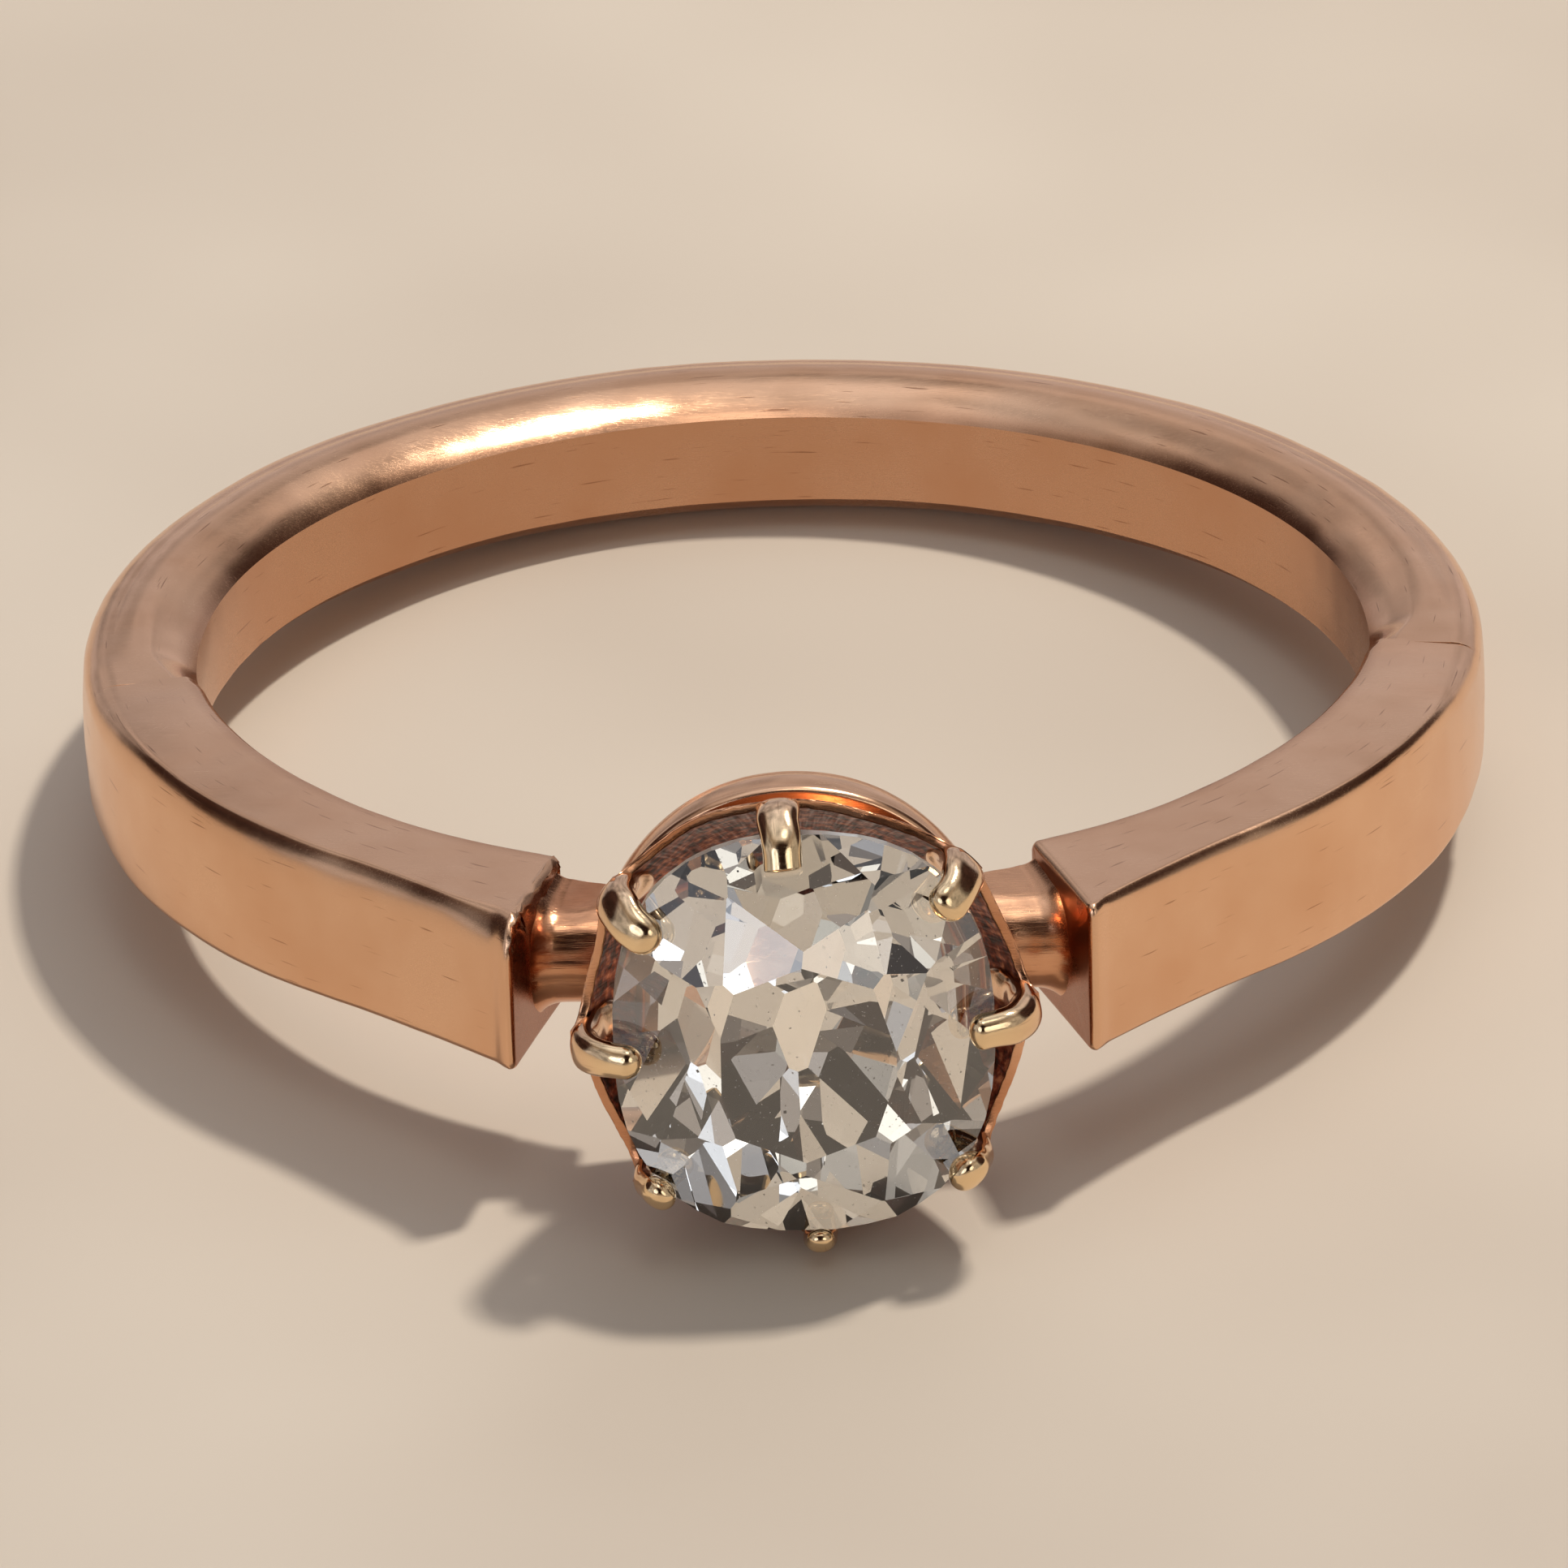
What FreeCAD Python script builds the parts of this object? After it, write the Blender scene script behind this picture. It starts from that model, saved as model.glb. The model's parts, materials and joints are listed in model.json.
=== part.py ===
"""Engagement ring: a rose-gold band with a coronet-set cushion diamond.

The ring lies on its side.  The finger hole runs along Z with its centre at the origin,
the setting faces -Y and +X is to the right of somebody who looks at the stone.
All sizes are in millimetres.
"""
import FreeCAD, Part
import math
import os

from FreeCAD import Vector

os.makedirs("parts", exist_ok=True)

# ---- driving dimensions: band -------------------------------------------------------------
BORE_R = 8.45            # finger hole, inside diameter 16.9
BAND_T = 1.65            # radial thickness of the band
BAND_R = BORE_R + BAND_T
SHANK_W = 2.14           # width of the back of the band along the finger
SHOULDER_W = 2.30        # width of the shoulders along the finger
SEAM_ANGLE = 8.0         # the shank ends this far below the X axis on each side, degrees
FLARE_ANGLE = 54.0       # the shoulder leaves the circle here and runs straight to its prow
PROW = (4.02, -10.15)    # outer front corner of the right shoulder
END_CORNER_X = 3.28      # inner front corner of the right shoulder, on the bore circle
OUTER_ROUND = 0.34       # rounding of the band's outer edges
INNER_ROUND = 0.40       # worn rounding of the shank's inner edges
SHOULDER_ROUND = 0.12    # the shoulders keep crisp edges

# ---- driving dimensions: necks between the shoulders and the setting -----------------------
NECK_BACK_H = 1.66       # height along the finger at the back
NECK_FRONT_H = 1.00      # and at the front face
NECK_BACK_Y = -7.60      # behind the bore's wall, which trims it
NECK_FRONT_Y = -9.24
NECK_ROUND = 0.22

# ---- driving dimensions: setting -------------------------------------------------------------
OVAL = 1.035             # height of the setting over its width
BASE_BACK_Y = -8.56      # back of the gallery ring, just clear of the finger
BASE_L = 0.86            # length of the gallery ring along the stone's axis
BASE_R = 2.58            # outer half width
BASE_T = 0.62            # wall
BASE_ROUND = 0.12
CUP_RIM_Y = -11.15
CUP_SECTION = [(0.0, 2.18), (0.45, 2.54), (1.0, 3.18)]   # share of the depth, outer half width
CUP_WALL = 0.28
CLAW_ANGLES = (3, 45, 95, 142, 183, 223, 273, 319)   # above +X, spaced by hand, degrees
CLAW_R = 0.25            # claws are round bars of this radius
CLAW_FOOT = (2.80, -10.25)      # half width and Y of the claw's foot, bend and tip
CLAW_BEND = (3.10, -11.50)
CLAW_TIP = (2.62, -12.02)
SCALLOP_DIP = 0.46       # how far the rim drops between two claws
SCALLOP_HALF = 0.96      # half the width of the dip

# ---- driving dimensions: diamond -------------------------------------------------------------
GIRDLE_Y = -11.50
GIRDLE_T = 0.10
STONE_X = 2.64           # half width
STONE_Z = 3.02           # half height
CUSHION_POWER = 2.45     # 2 is an oval, larger is squarer
CROWN_H = 1.04
PAVILION_H = 2.42
TABLE_SHARE = 0.52       # table's half width over the girdle's
CULET_SHARE = 0.12
FACETS = 8

FAR = 40.0               # larger than the ring, for cutting tools


def on_circle(radius, degrees, z=0.0):
    """A point of a circle round the finger axis."""
    turn = math.radians(degrees)
    return Vector(radius * math.cos(turn), radius * math.sin(turn), z)


def arc(radius, start, end, z):
    """An edge along a circle round the finger axis, between two angles in degrees."""
    return Part.Arc(on_circle(radius, start, z), on_circle(radius, (start + end) / 2, z),
                    on_circle(radius, end, z)).toShape()


def mirrored(shape):
    """The same piece on the other side of the ring."""
    return shape.mirror(Vector(0, 0, 0), Vector(1, 0, 0))


def near_radius(edge, radius):
    """True for an arc of this radius round the finger axis."""
    curve = edge.Curve
    return isinstance(curve, Part.Circle) and abs(curve.Radius - radius) < 1e-3


def make_shank():
    """The back of the band, from seam to seam, with worn edges."""
    start, end = -SEAM_ANGLE, 180 + SEAM_ANGLE
    low = -SHANK_W / 2
    outline = Part.Wire([
        arc(BORE_R, start, end, low),
        Part.makeLine(on_circle(BORE_R, end, low), on_circle(BAND_R, end, low)),
        arc(BAND_R, end, start, low),
        Part.makeLine(on_circle(BAND_R, start, low), on_circle(BORE_R, start, low)),
    ])
    shank = Part.Face(outline).extrude(Vector(0, 0, SHANK_W))
    shank = shank.makeFillet(OUTER_ROUND, [e for e in shank.Edges if near_radius(e, BAND_R)])
    return shank.makeFillet(INNER_ROUND, [e for e in shank.Edges if near_radius(e, BORE_R)])


def end_corner():
    """Inner front corner of the right shoulder."""
    return END_CORNER_X, -math.sqrt(BORE_R ** 2 - END_CORNER_X ** 2)


def make_shoulder():
    """The right shoulder: a crisp block that swells to a prow beside the setting."""
    low = -SHOULDER_W / 2
    corner_x, corner_y = end_corner()
    corner_angle = math.degrees(math.atan2(corner_y, corner_x))
    prow = Vector(PROW[0], PROW[1], low)
    corner = Vector(corner_x, corner_y, low)
    flare = Part.makeLine(on_circle(BAND_R, -FLARE_ANGLE, low), prow)
    outline = Part.Wire([
        arc(BORE_R, corner_angle, -SEAM_ANGLE, low),
        Part.makeLine(on_circle(BORE_R, -SEAM_ANGLE, low), on_circle(BAND_R, -SEAM_ANGLE, low)),
        arc(BAND_R, -SEAM_ANGLE, -FLARE_ANGLE, low),
        flare,
        Part.makeLine(prow, corner),
    ])
    shoulder = Part.Face(outline).extrude(Vector(0, 0, SHOULDER_W))
    outer = [e for e in shoulder.Edges
             if near_radius(e, BAND_R) or abs(e.Length - flare.Length) < 1e-6]
    return shoulder.makeFillet(SHOULDER_ROUND, outer)


def make_neck(shoulder, ring_outside):
    """The right neck: a short bar, low at its front, from the shoulder to the gallery ring."""
    inner_x = BASE_R / 2
    section = [(NECK_BACK_Y, NECK_BACK_H / 2), (NECK_FRONT_Y, NECK_FRONT_H / 2),
               (NECK_FRONT_Y, -NECK_FRONT_H / 2), (NECK_BACK_Y, -NECK_BACK_H / 2)]
    points = [Vector(inner_x, y, z) for y, z in section]
    bar = Part.Face(Part.makePolygon(points + points[:1])).extrude(Vector(PROW[0] - inner_x, 0, 0))
    front_edges = [e for e in bar.Edges if e.BoundBox.XLength > 1
                   and abs(e.BoundBox.YMin - NECK_FRONT_Y) < 1e-3]
    bar = bar.makeFillet(NECK_ROUND, front_edges)
    bore = Part.makeCylinder(BORE_R, FAR, Vector(0, 0, -FAR / 2))
    return bar.cut(bore).cut(ring_outside).cut(shoulder)


def oval_wire(half_width, y):
    """An upright oval outline round the stone's axis."""
    centre = Vector(0, y, 0)
    ellipse = Part.Ellipse(Vector(0, y, half_width * OVAL), Vector(half_width, y, 0), centre)
    return Part.Wire(ellipse.toShape())


def oval_solid(section):
    """A solid through several ovals, given as (y, half width)."""
    return Part.makeLoft([oval_wire(half_width, y) for y, half_width in section], True)


def base_outside():
    """The gallery ring's outside as a full solid."""
    front_y = BASE_BACK_Y - BASE_L
    return oval_solid([(BASE_BACK_Y, BASE_R), (front_y, BASE_R)])


def make_base_ring():
    """The gallery ring, the short tube that the cup stands on."""
    front_y = BASE_BACK_Y - BASE_L
    hole = oval_solid([(BASE_BACK_Y + 1, BASE_R - BASE_T), (front_y - 1, BASE_R - BASE_T)])
    ring = base_outside().cut(hole)
    rims = [e for e in ring.Edges
            if abs(e.BoundBox.YLength) < 1e-6 and e.BoundBox.XLength > 2 * BASE_R - 0.01]
    return ring.makeFillet(BASE_ROUND, rims)


def cup_section(offset):
    """The cup's section moved inward by offset."""
    foot_y = BASE_BACK_Y - BASE_L
    depth = CUP_RIM_Y - foot_y
    return [(foot_y + share * depth, half_width - offset) for share, half_width in CUP_SECTION]


def turned(shape, degrees):
    """Turn a tool round the stone's axis, from +X towards +Z."""
    copy = shape.copy()
    copy.rotate(Vector(0, 0, 0), Vector(0, -1, 0), degrees)
    return copy


def rod(start, end, radius):
    """A round bar between two points with a ball at its far end."""
    run = end - start
    bar = Part.makeCylinder(radius, run.Length, start, run)
    return bar.fuse(Part.makeSphere(radius, end))


def make_claw(degrees, diamond):
    """One claw: up the outside of the cup, bent over the girdle, fitted to the stone."""
    foot, bend, tip = [Vector(r, y, 0) for r, y in (CLAW_FOOT, CLAW_BEND, CLAW_TIP)]
    claw = rod(foot, bend, CLAW_R).fuse(rod(bend, tip, CLAW_R)).removeSplitter()
    claw = turned(claw, degrees)
    rise = (OVAL - 1) * CLAW_BEND[0] * math.sin(math.radians(degrees))
    claw.translate(Vector(0, 0, rise))
    return claw.cut(diamond)


def make_cup(claws):
    """The scalloped cup, notched for the claws."""
    outer = cup_section(0)
    inner = cup_section(CUP_WALL)
    cup = oval_solid(outer).cut(oval_solid(inner))
    radius = (SCALLOP_HALF ** 2 + SCALLOP_DIP ** 2) / (2 * SCALLOP_DIP)
    centre_y = CUP_RIM_Y - (radius - SCALLOP_DIP)
    dip = Part.makeCylinder(radius, FAR / 4, Vector(0, centre_y, 0), Vector(1, 0, 0))
    next_angles = CLAW_ANGLES[1:] + (CLAW_ANGLES[0] + 360,)
    for angle, next_angle in zip(CLAW_ANGLES, next_angles):
        cup = cup.cut(turned(dip, (angle + next_angle) / 2))
    for claw in claws:
        cup = cup.cut(claw)
    return max(cup.Solids, key=lambda solid: solid.Volume)


def girdle_point(degrees):
    """A point of the cushion outline, seen along the stone's axis."""
    turn = math.radians(degrees)
    c, s = math.cos(turn), math.sin(turn)
    power = 2 / CUSHION_POWER
    return (math.copysign(abs(c) ** power, c) * STONE_X,
            math.copysign(abs(s) ** power, s) * STONE_Z)


def facet_cut(stone, degrees, level_y, rise, run_share):
    """Cut one flat facet from the girdle towards the table or the culet.

    run_share is how much of the half width is left where the facet has risen by rise.
    """
    x, z = girdle_point(degrees)
    (ahead_x, ahead_z), (behind_x, behind_z) = girdle_point(degrees + 4), girdle_point(degrees - 4)
    along = Vector(ahead_x - behind_x, 0, ahead_z - behind_z).normalize()
    edge = Vector(x, level_y, z)
    far_end = Vector(x * run_share, level_y + rise, z * run_share)
    normal = along.cross(far_end - edge)
    if normal.dot(Vector(x, 0, z)) < 0:
        normal = -normal
    tool = Part.makeBox(FAR, FAR, FAR, Vector(-FAR / 2, -FAR / 2, 0))
    tool.Placement = FreeCAD.Placement(edge, FreeCAD.Rotation(Vector(0, 0, 1), normal)).multiply(
        tool.Placement)
    return stone.cut(tool)


def make_diamond():
    """Old mine cut: cushion outline, high crown, small table and a flat culet."""
    outline = [girdle_point(360.0 * i / 32) for i in range(32)]
    front_y = GIRDLE_Y - GIRDLE_T / 2 - CROWN_H
    back_y = GIRDLE_Y + GIRDLE_T / 2 + PAVILION_H
    points = [Vector(x, front_y, z) for x, z in outline]
    curve = Part.BSplineCurve()
    curve.interpolate(Points=points, PeriodicFlag=True)
    stone = Part.Face(Part.Wire(curve.toShape())).extrude(Vector(0, back_y - front_y, 0))
    for index in range(FACETS):
        degrees = 360.0 * index / FACETS
        stone = facet_cut(stone, degrees, GIRDLE_Y - GIRDLE_T / 2, -CROWN_H, TABLE_SHARE)
        stone = facet_cut(stone, degrees, GIRDLE_Y + GIRDLE_T / 2, PAVILION_H, CULET_SHARE)
    return stone


def build():
    """Every node by name."""
    diamond = make_diamond()
    claws = [make_claw(degrees, diamond) for degrees in CLAW_ANGLES]
    shoulder = make_shoulder()
    neck = make_neck(shoulder, base_outside())
    nodes = {
        "shank": make_shank(),
        "right_shoulder": shoulder,
        "left_shoulder": mirrored(shoulder),
        "right_neck": neck,
        "left_neck": mirrored(neck),
        "gallery_ring": make_base_ring(),
        "coronet_cup": make_cup(claws),
        "diamond": diamond,
    }
    for index, claw in enumerate(claws):
        nodes["claw_%d" % (index + 1)] = claw
    return nodes


for name, shape in build().items():
    print("%-16s solids %d valid %s volume %.4f" % (name, len(shape.Solids), shape.isValid(),
                                                   shape.Volume))
    shape.exportStep("parts/%s.step" % name)
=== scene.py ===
# %% [markdown]
# # An antique engagement ring
# A rose-gold band holds a cushion-shaped old mine cut diamond in a scalloped coronet cup
# with eight pale gold claws. The ring lies on its side: the finger hole runs along Z and
# the stone looks towards -Y. Everything is worked out in millimetres and only turned into
# Blender's metres when a mesh is made.

import json
import math

import bmesh
import bpy
import numpy as np
from mathutils import Matrix, Vector


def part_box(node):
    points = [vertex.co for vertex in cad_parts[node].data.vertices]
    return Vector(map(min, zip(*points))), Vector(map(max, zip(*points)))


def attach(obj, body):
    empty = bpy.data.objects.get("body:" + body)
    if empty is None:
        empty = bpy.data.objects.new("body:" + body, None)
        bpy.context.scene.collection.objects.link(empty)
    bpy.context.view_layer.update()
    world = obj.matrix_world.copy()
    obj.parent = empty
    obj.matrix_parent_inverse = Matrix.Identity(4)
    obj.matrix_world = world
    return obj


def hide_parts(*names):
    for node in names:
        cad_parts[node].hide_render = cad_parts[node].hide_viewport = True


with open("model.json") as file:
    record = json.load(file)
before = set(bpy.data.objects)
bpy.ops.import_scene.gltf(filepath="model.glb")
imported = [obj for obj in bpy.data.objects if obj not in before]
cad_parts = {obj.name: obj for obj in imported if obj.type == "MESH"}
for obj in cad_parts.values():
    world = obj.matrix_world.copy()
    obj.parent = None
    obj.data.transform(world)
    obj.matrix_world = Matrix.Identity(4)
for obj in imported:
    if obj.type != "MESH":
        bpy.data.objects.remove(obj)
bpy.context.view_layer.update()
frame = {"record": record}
MM = 0.001


def span(node):
    """Lowest and highest corner of a CAD node, in millimetres."""
    low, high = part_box(node)
    return np.array(low) / MM, np.array(high) / MM


mounts = {mount["name"]: mount for mount in frame["record"]["mounts"]}
BORE_R = mounts["finger_bore"]["dims"]["r_mm"]
BAND_R = span("shank")[1][1]
SHANK_HALF = span("shank")[1][2]
SHOULDER_HALF = span("right_shoulder")[1][2]
print("bore %.2f mm, band %.2f mm, widths %.2f and %.2f mm"
      % (BORE_R, BAND_R, 2 * SHANK_HALF, 2 * SHOULDER_HALF))

# %% [markdown]
# ## Camera
# A tiny thing keeps its proportions when it is seen from far away through a long lens. The
# camera looks down at the ring by about 25 degrees and is rolled a little.

# %% Camera
AZIMUTH, ELEVATION, ROLL = -0.74, 24.5, -1.535  # degrees
DISTANCE = 250.0  # from the target
TARGET = np.array([-0.076, -3.217, 0.0])
LENS = 402.5  # on Blender's 36 mm sensor


def unit(vector):
    """The vector, or each row of vectors, with length one."""
    return vector / np.linalg.norm(vector, axis=-1, keepdims=True)


def make_camera():
    """Camera axes: back points from the target to the lens, right and up are rolled about it."""
    azimuth, elevation, roll = np.radians([AZIMUTH, ELEVATION, ROLL])
    back = np.array([math.sin(azimuth) * math.cos(elevation),
                     -math.cos(azimuth) * math.cos(elevation), math.sin(elevation)])
    level = unit(np.cross(-back, [0, 0, 1]))
    rise = np.cross(back, level)
    right = math.cos(roll) * level + math.sin(roll) * rise
    up = math.cos(roll) * rise - math.sin(roll) * level
    data = bpy.data.cameras.new("ring_camera")
    data.lens = LENS
    data.clip_start, data.clip_end = 0.01, 5.0
    camera = bpy.data.objects.new("ring_camera", data)
    axes = Matrix(np.stack([right, up, back], axis=1).tolist()).to_4x4()
    camera.matrix_world = Matrix.Translation(Vector((TARGET + back * DISTANCE) * MM)) @ axes
    bpy.context.collection.objects.link(camera)
    bpy.context.scene.camera = camera
    print("camera: %.0f mm away, %.1f mm lens" % (DISTANCE, LENS))


make_camera()

# %% [markdown]
# ## Surfaces from arrays
# Each metal piece is a sheet of points on a grid: rows run along the piece and columns run
# round its section. One function turns such a grid into a mesh, welds where the sheet meets
# itself and stores its arc lengths as a UV map in millimetres, so that a scratch or file
# mark keeps its real size.

# %% Grid helpers
SHARP_ANGLE = math.radians(38)


def arc_lengths(points, axis):
    """Distance walked over the grid along one axis, averaged over the other."""
    steps = np.linalg.norm(np.diff(points, axis=axis), axis=-1).mean(axis=1 - axis)
    return np.concatenate([[0.0], np.cumsum(steps)])


def grid_faces(rows, columns):
    """Corner numbers of every square of a rows by columns grid."""
    corner = np.arange(rows * columns).reshape(rows, columns)
    return np.stack([corner[:-1, :-1], corner[1:, :-1], corner[1:, 1:], corner[:-1, 1:]],
                    axis=-1).reshape(-1, 4)


def mesh_from(name, points, faces):
    """A mesh from corners in millimetres and the corner numbers of its faces."""
    mesh = bpy.data.meshes.new(name)
    mesh.from_pydata((points.reshape(-1, 3) * MM).tolist(), [], faces.tolist())
    return mesh


def skin(name, points, material, tone=None):
    """A mesh object from a grid of points in millimetres; repeated points are welded.

    tone, from 0 to 1 at every point, tells the material where its second colour lies: a paler
    gold on claw tips, painted shade on the other pieces.
    """
    rows, columns = points.shape[:2]
    faces = grid_faces(rows, columns)
    mesh = mesh_from(name, points, faces)
    along, across = arc_lengths(points, 0), arc_lengths(points, 1)
    lengths = np.stack(np.meshgrid(along, across, indexing="ij"), axis=-1).reshape(-1, 2)
    layer = mesh.uv_layers.new(name="lengths_mm")
    layer.data.foreach_set("uv", lengths[faces.reshape(-1)].astype(np.float32).reshape(-1))
    marks = mesh.attributes.new("tone", "FLOAT", "POINT")
    amount = np.zeros(rows * columns) if tone is None else tone.reshape(-1)
    marks.data.foreach_set("value", amount.astype(np.float32))
    weld(mesh)
    mesh.polygons.foreach_set("use_smooth", np.ones(len(mesh.polygons), bool))
    mesh.set_sharp_from_angle(angle=SHARP_ANGLE)
    print("%-20s %6d faces" % (name, len(mesh.polygons)))
    return shown(name, mesh, material)


def shown(name, mesh, *materials):
    """The mesh as an object in the scene, with its materials."""
    for material in materials:
        mesh.materials.append(material)
    piece = bpy.data.objects.new(name, mesh)
    bpy.context.collection.objects.link(piece)
    return piece


def weld(mesh):
    """Join doubled points and turn every face outwards."""
    work = bmesh.new()
    work.from_mesh(mesh)
    bmesh.ops.remove_doubles(work, verts=work.verts, dist=2e-7)
    bmesh.ops.dissolve_degenerate(work, edges=work.edges, dist=1e-8)
    bmesh.ops.recalc_face_normals(work, faces=work.faces)
    work.to_mesh(mesh)
    work.free()


def ripple(points, wavelength, seed, waves=16):
    """Smooth noise: a sum of sine waves of about one wavelength in random directions."""
    draw = np.random.default_rng(seed)
    direction = unit(draw.normal(size=(waves, 3)))
    rate = 2 * math.pi / wavelength * draw.uniform(0.6, 1.5, (waves, 1))
    phase = draw.uniform(0, 2 * math.pi, waves)
    return np.sin(points @ (direction * rate).T + phase).sum(axis=-1) / math.sqrt(2 * waves)


def widened(points, lift, radius):
    """The grid with each point moved away from the stone's axis by lift, at that radius."""
    return points * (1 + lift[..., None] / radius * np.array([1, 0, 1]))


def signed_power(value, power):
    """The size of a number raised to a power, with the number's sign: for superellipses."""
    return np.sign(value) * np.abs(value) ** power


def smooth(low, high, value):
    """Zero below low, one above high, and an even S-curve between."""
    share = np.clip((value - low) / (high - low), 0, 1)
    return share * share * (3 - 2 * share)


def stand_for(piece, node):
    """The piece rides on the ring's body and hides its CAD node."""
    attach(piece, "root")
    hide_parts(node)
    return piece

# %% [markdown]
# ## Materials
# One small function adds a node, sets its sockets and links it, so a material reads as a
# list of what the surface is made of.

# %% Material helpers
BLACK, WHITE = (0.0, 0.0, 0.0, 1.0), (1.0, 1.0, 1.0, 1.0)


def linear(hex_colour):
    """An sRGB hex colour as the linear RGBA that shaders work in."""
    srgb = np.array([int(hex_colour[i:i + 2], 16) for i in (1, 3, 5)]) / 255
    value = np.where(srgb <= 0.04045, srgb / 12.92, ((srgb + 0.055) / 1.055) ** 2.4)
    return (*value, 1.0)


def set_sockets(tree, node, sockets):
    """Give each named input a constant or another node's output."""
    for key, value in sockets.items():
        if isinstance(value, bpy.types.NodeSocket):
            tree.links.new(value, node.inputs[key])
        else:
            node.inputs[key].default_value = value


def add(tree, kind, sockets=None, stops=None, output=None, **settings):
    """Add one shader node and return its output: the one named, or else the first in use.

    stops are the (position, RGBA) pairs of a colour ramp.
    """
    node = tree.nodes.new("ShaderNode" + kind)
    for key, value in settings.items():
        setattr(node, key, value)
    set_sockets(tree, node, sockets or {})
    if stops:
        elements = node.color_ramp.elements
        elements[0].position, elements[0].color = stops[0]
        elements[1].position, elements[1].color = stops[-1]
        for position, colour in stops[1:-1]:
            elements.new(position).color = colour
    if output:
        return node.outputs[output]
    return next(socket for socket in node.outputs if socket.enabled)


def new_material(name):
    """A node material, its tree, its Principled shader and the object's coordinates."""
    material = bpy.data.materials.new(name)
    material.use_nodes = True
    tree = material.node_tree
    return material, tree, tree.nodes["Principled BSDF"], add(tree, "TexCoord", output="Object")


def scratches(tree, place, turn, spacing, length):
    """Fine hairlines: noise squeezed across and stretched along one direction, then cut thin."""
    stretched = add(tree, "Mapping", {
        "Vector": place, "Rotation": turn,
        "Scale": (1 / (length * MM), 1 / (spacing * MM), 1 / (spacing * MM))})
    noise = add(tree, "TexNoise", {
        "Vector": stretched, "Scale": 1.0, "Detail": 2.0, "Roughness": 0.6})
    return add(tree, "ValToRGB", {"Fac": noise}, stops=[
        (0.475, BLACK), (0.5, WHITE), (0.525, BLACK)])


SCRATCH = (0.9, 0.045)  # length and width of a deep scratch, in millimetres
SCRATCH_SLANT = 0.12  # radians away from the length of the piece


def deep_scratches(tree):
    """A few dark scratches along a piece: noise on its arc lengths, kept only at its peaks."""
    lengths = add(tree, "UVMap", uv_map="lengths_mm")
    drawn = add(tree, "Mapping", {
        "Vector": lengths, "Rotation": (0.0, 0.0, SCRATCH_SLANT),
        "Scale": (1 / SCRATCH[0], 1 / SCRATCH[1], 1.0)})
    noise = add(tree, "TexNoise", {"Vector": drawn, "Scale": 1.0, "Detail": 1.0})
    return add(tree, "MapRange", {
        "Value": noise, "From Min": 0.70, "From Max": 0.75,
        "To Min": 0.0, "To Max": 0.6})

# %% [markdown]
# ### Rose gold
# Rose gold is gold with much copper. Polished by hand and long worn, it mirrors softly under
# a net of hairlines. A metal's look is nearly all in its roughness, so the noise drives
# roughness first and colour only a little.

# %% Rose gold
CLOUD, GRAIN = 1.6, 0.09  # millimetres from one patch or grain to the next


def rose_gold(name, colour, dull_colour, polish, dullness, bump, second, second_roughness):
    """Worn polished gold; polish and dullness are its lowest and highest roughness.

    The piece's tone attribute leads from this finish to the second colour and changes the
    roughness by second_roughness. On a claw's tip the second colour is the paler gold it was
    tipped with; on the finger hole's wall, the shoulders' end faces and the cup's outside it is
    painted shade.
    """
    material, tree, shader, place = new_material(name)
    cloud = add(tree, "TexNoise", {"Vector": place, "Scale": 1 / (CLOUD * MM), "Detail": 4.0})
    fine = add(tree, "TexNoise", {"Vector": place, "Scale": 1 / (GRAIN * MM), "Detail": 3.0})
    lines = add(tree, "Mix", {
        "Factor": 0.5,
        "A": scratches(tree, place, turn=(0.3, 0.2, 0.5), spacing=0.05, length=1.4),
        "B": scratches(tree, place, turn=(0.1, 0.9, 2.1), spacing=0.06, length=1.1)},
        data_type="RGBA", blend_type="ADD")
    tone = add(tree, "Attribute", output="Fac", attribute_name="tone")

    clouded = add(tree, "ValToRGB", {"Fac": cloud}, stops=[
        (0.3, linear(dull_colour)), (0.62, linear(colour))])
    # The tone mixes in the second colour: paler gold on claw tips, painted shade on the finger
    # hole's wall, the shoulders' end faces and the cup's outside.
    toned = add(tree, "Mix", {
        "Factor": tone, "A": clouded, "B": linear(second)}, data_type="RGBA")
    deep = deep_scratches(tree)
    marked = add(tree, "Mix", {
        "Factor": deep, "A": toned, "B": linear("#8A5A40")}, data_type="RGBA")

    sheen = add(tree, "MapRange", {
        "Value": cloud, "From Min": 0.3, "From Max": 0.7,
        "To Min": polish, "To Max": dullness})
    scuffed = add(tree, "Math", {0: lines, 1: 0.06, 2: sheen}, operation="MULTIPLY_ADD")
    rubbed = add(tree, "Math", {
        0: tone, 1: second_roughness, 2: scuffed}, operation="MULTIPLY_ADD",
        use_clamp=True)

    shallow = add(tree, "Math", {0: lines, 1: -0.35, 2: fine}, operation="MULTIPLY_ADD")
    height = add(tree, "Math", {0: deep, 1: -3.0, 2: shallow}, operation="MULTIPLY_ADD")
    relief = add(tree, "Bump", {"Height": height, "Strength": bump, "Distance": 0.004 * MM})
    set_sockets(tree, shader, {
        "Base Color": marked, "Roughness": rubbed, "Normal": relief, "Metallic": 1.0})
    return material


# The band's second colour, #9C6344, is painted shade: it darkens the wall of the finger hole and
# the shoulders' end faces.
BAND_GOLD = rose_gold("rose_gold_polished", "#EDBF9B", "#E4B28C", 0.15, 0.23, 0.15,
                      "#9C6344", 0.07)
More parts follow.
